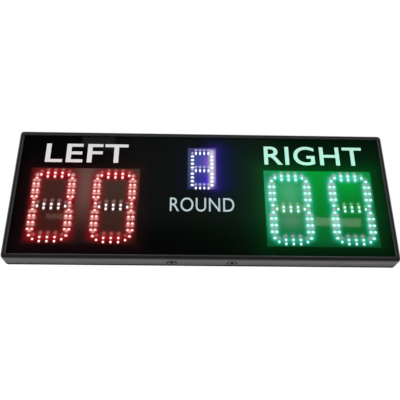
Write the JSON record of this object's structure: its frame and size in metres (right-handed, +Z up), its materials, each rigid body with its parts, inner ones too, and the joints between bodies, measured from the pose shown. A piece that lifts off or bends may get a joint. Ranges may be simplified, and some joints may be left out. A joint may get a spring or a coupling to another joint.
{
  "type": "electronic scoreboard",
  "caption": "Shallow wall-hung scoreboard with a dark metal frame, a smoked front panel, lit two-digit displays left and right and a small digit between them.",
  "frame": {"origin": "middle of the rear cover's outer flat face, which lies against the wall", "axes": "+X to the right as seen from the front, +Y out of the back face towards the wall, +Z up; the lit face looks along -Y"},
  "size_m": [0.5, 0.025, 0.186],
  "materials": {
    "dark_anodised_rail": "dark satin anodised extrusion",
    "corner_key_metal": "raw cast",
    "zinc_steel": "zinc plated",
    "black_steel": "black oxide",
    "smoked_acrylic": "polished, see-through, smoke tinted",
    "black_mask": "opaque black",
    "cover_plastic": "fine moulded texture",
    "display_circuit": "solder resist",
    "red_lamps": "lit lamps on a red strip",
    "green_lamps": "lit lamps on a green strip",
    "violet_lamps": "lit lamps on a violet strip",
    "green_circuit": "solder resist",
    "black_plastic": "satin moulded",
    "ribbon_grey": "ribbed flat cable",
    "lead_red": "insulated wire"
  },
  "bodies": {
    "board": {"rail_top": "dark_anodised_rail", "rail_bottom": "dark_anodised_rail", "rail_left": "dark_anodised_rail", "rail_right": "dark_anodised_rail", "corner_key_top_right": "corner_key_metal", "corner_key_top_left": "corner_key_metal", "corner_key_bottom_left": "corner_key_metal", "corner_key_bottom_right": "corner_key_metal", "stand_bar": "zinc_steel", "stand_screw_left": "black_steel", "stand_screw_right": "black_steel", "cover_screw_1": "black_steel", "cover_screw_2": "black_steel", "cover_screw_3": "black_steel", "cover_screw_4": "black_steel", "cover_screw_5": "black_steel", "cover_screw_6": "black_steel", "cover_screw_7": "black_steel", "cover_screw_8": "black_steel", "left_board_screw_1": "black_steel", "left_board_screw_2": "black_steel", "left_board_screw_3": "black_steel", "left_board_screw_4": "black_steel", "right_board_screw_1": "black_steel", "right_board_screw_2": "black_steel", "right_board_screw_3": "black_steel", "right_board_screw_4": "black_steel", "centre_board_screw_1": "black_steel", "centre_board_screw_2": "black_steel", "controller_screw_1": "black_steel", "controller_screw_2": "black_steel", "front_panel": "smoked_acrylic", "mask_sheet": "black_mask", "rear_cover": "cover_plastic", "display_board_left": "display_circuit", "display_board_right": "display_circuit", "display_board_centre": "display_circuit", "lamp_array_left_tens": "red_lamps", "lamp_array_left_ones": "red_lamps", "lamp_array_right_tens": "green_lamps", "lamp_array_right_ones": "green_lamps", "lamp_array_centre": "violet_lamps", "controller_board": "green_circuit", "receiver_module": "green_circuit", "button_switch": "green_circuit", "buzzer": "black_plastic", "side_panel": "black_plastic", "power_inlet": "black_plastic", "rocker_housing": "black_plastic", "ribbon_left": "ribbon_grey", "ribbon_right": "ribbon_grey", "ribbon_centre": "ribbon_grey", "inlet_lead": "lead_red", "rocker_lead": "lead_red", "button_lead": "lead_red"},
    "rocker": {"power_rocker": "black_plastic"},
    "button": {"pairing_button": "black_plastic"}
  },
  "joints": [
    {"name": "power_rocker_tilt", "type": "hinge", "parent": "board", "child": "rocker", "pos_m": [0.2468, -0.01045, -0.03], "axis": [0, 1, 0], "range_deg": [0, 20]},
    {"name": "pairing_button_press", "type": "slide", "parent": "board", "child": "button", "axis": [-1, 0, 0], "range_m": [0, 0.0005], "stiffness_N_per_m": 600, "springref_m": -0.0008}
  ]
}
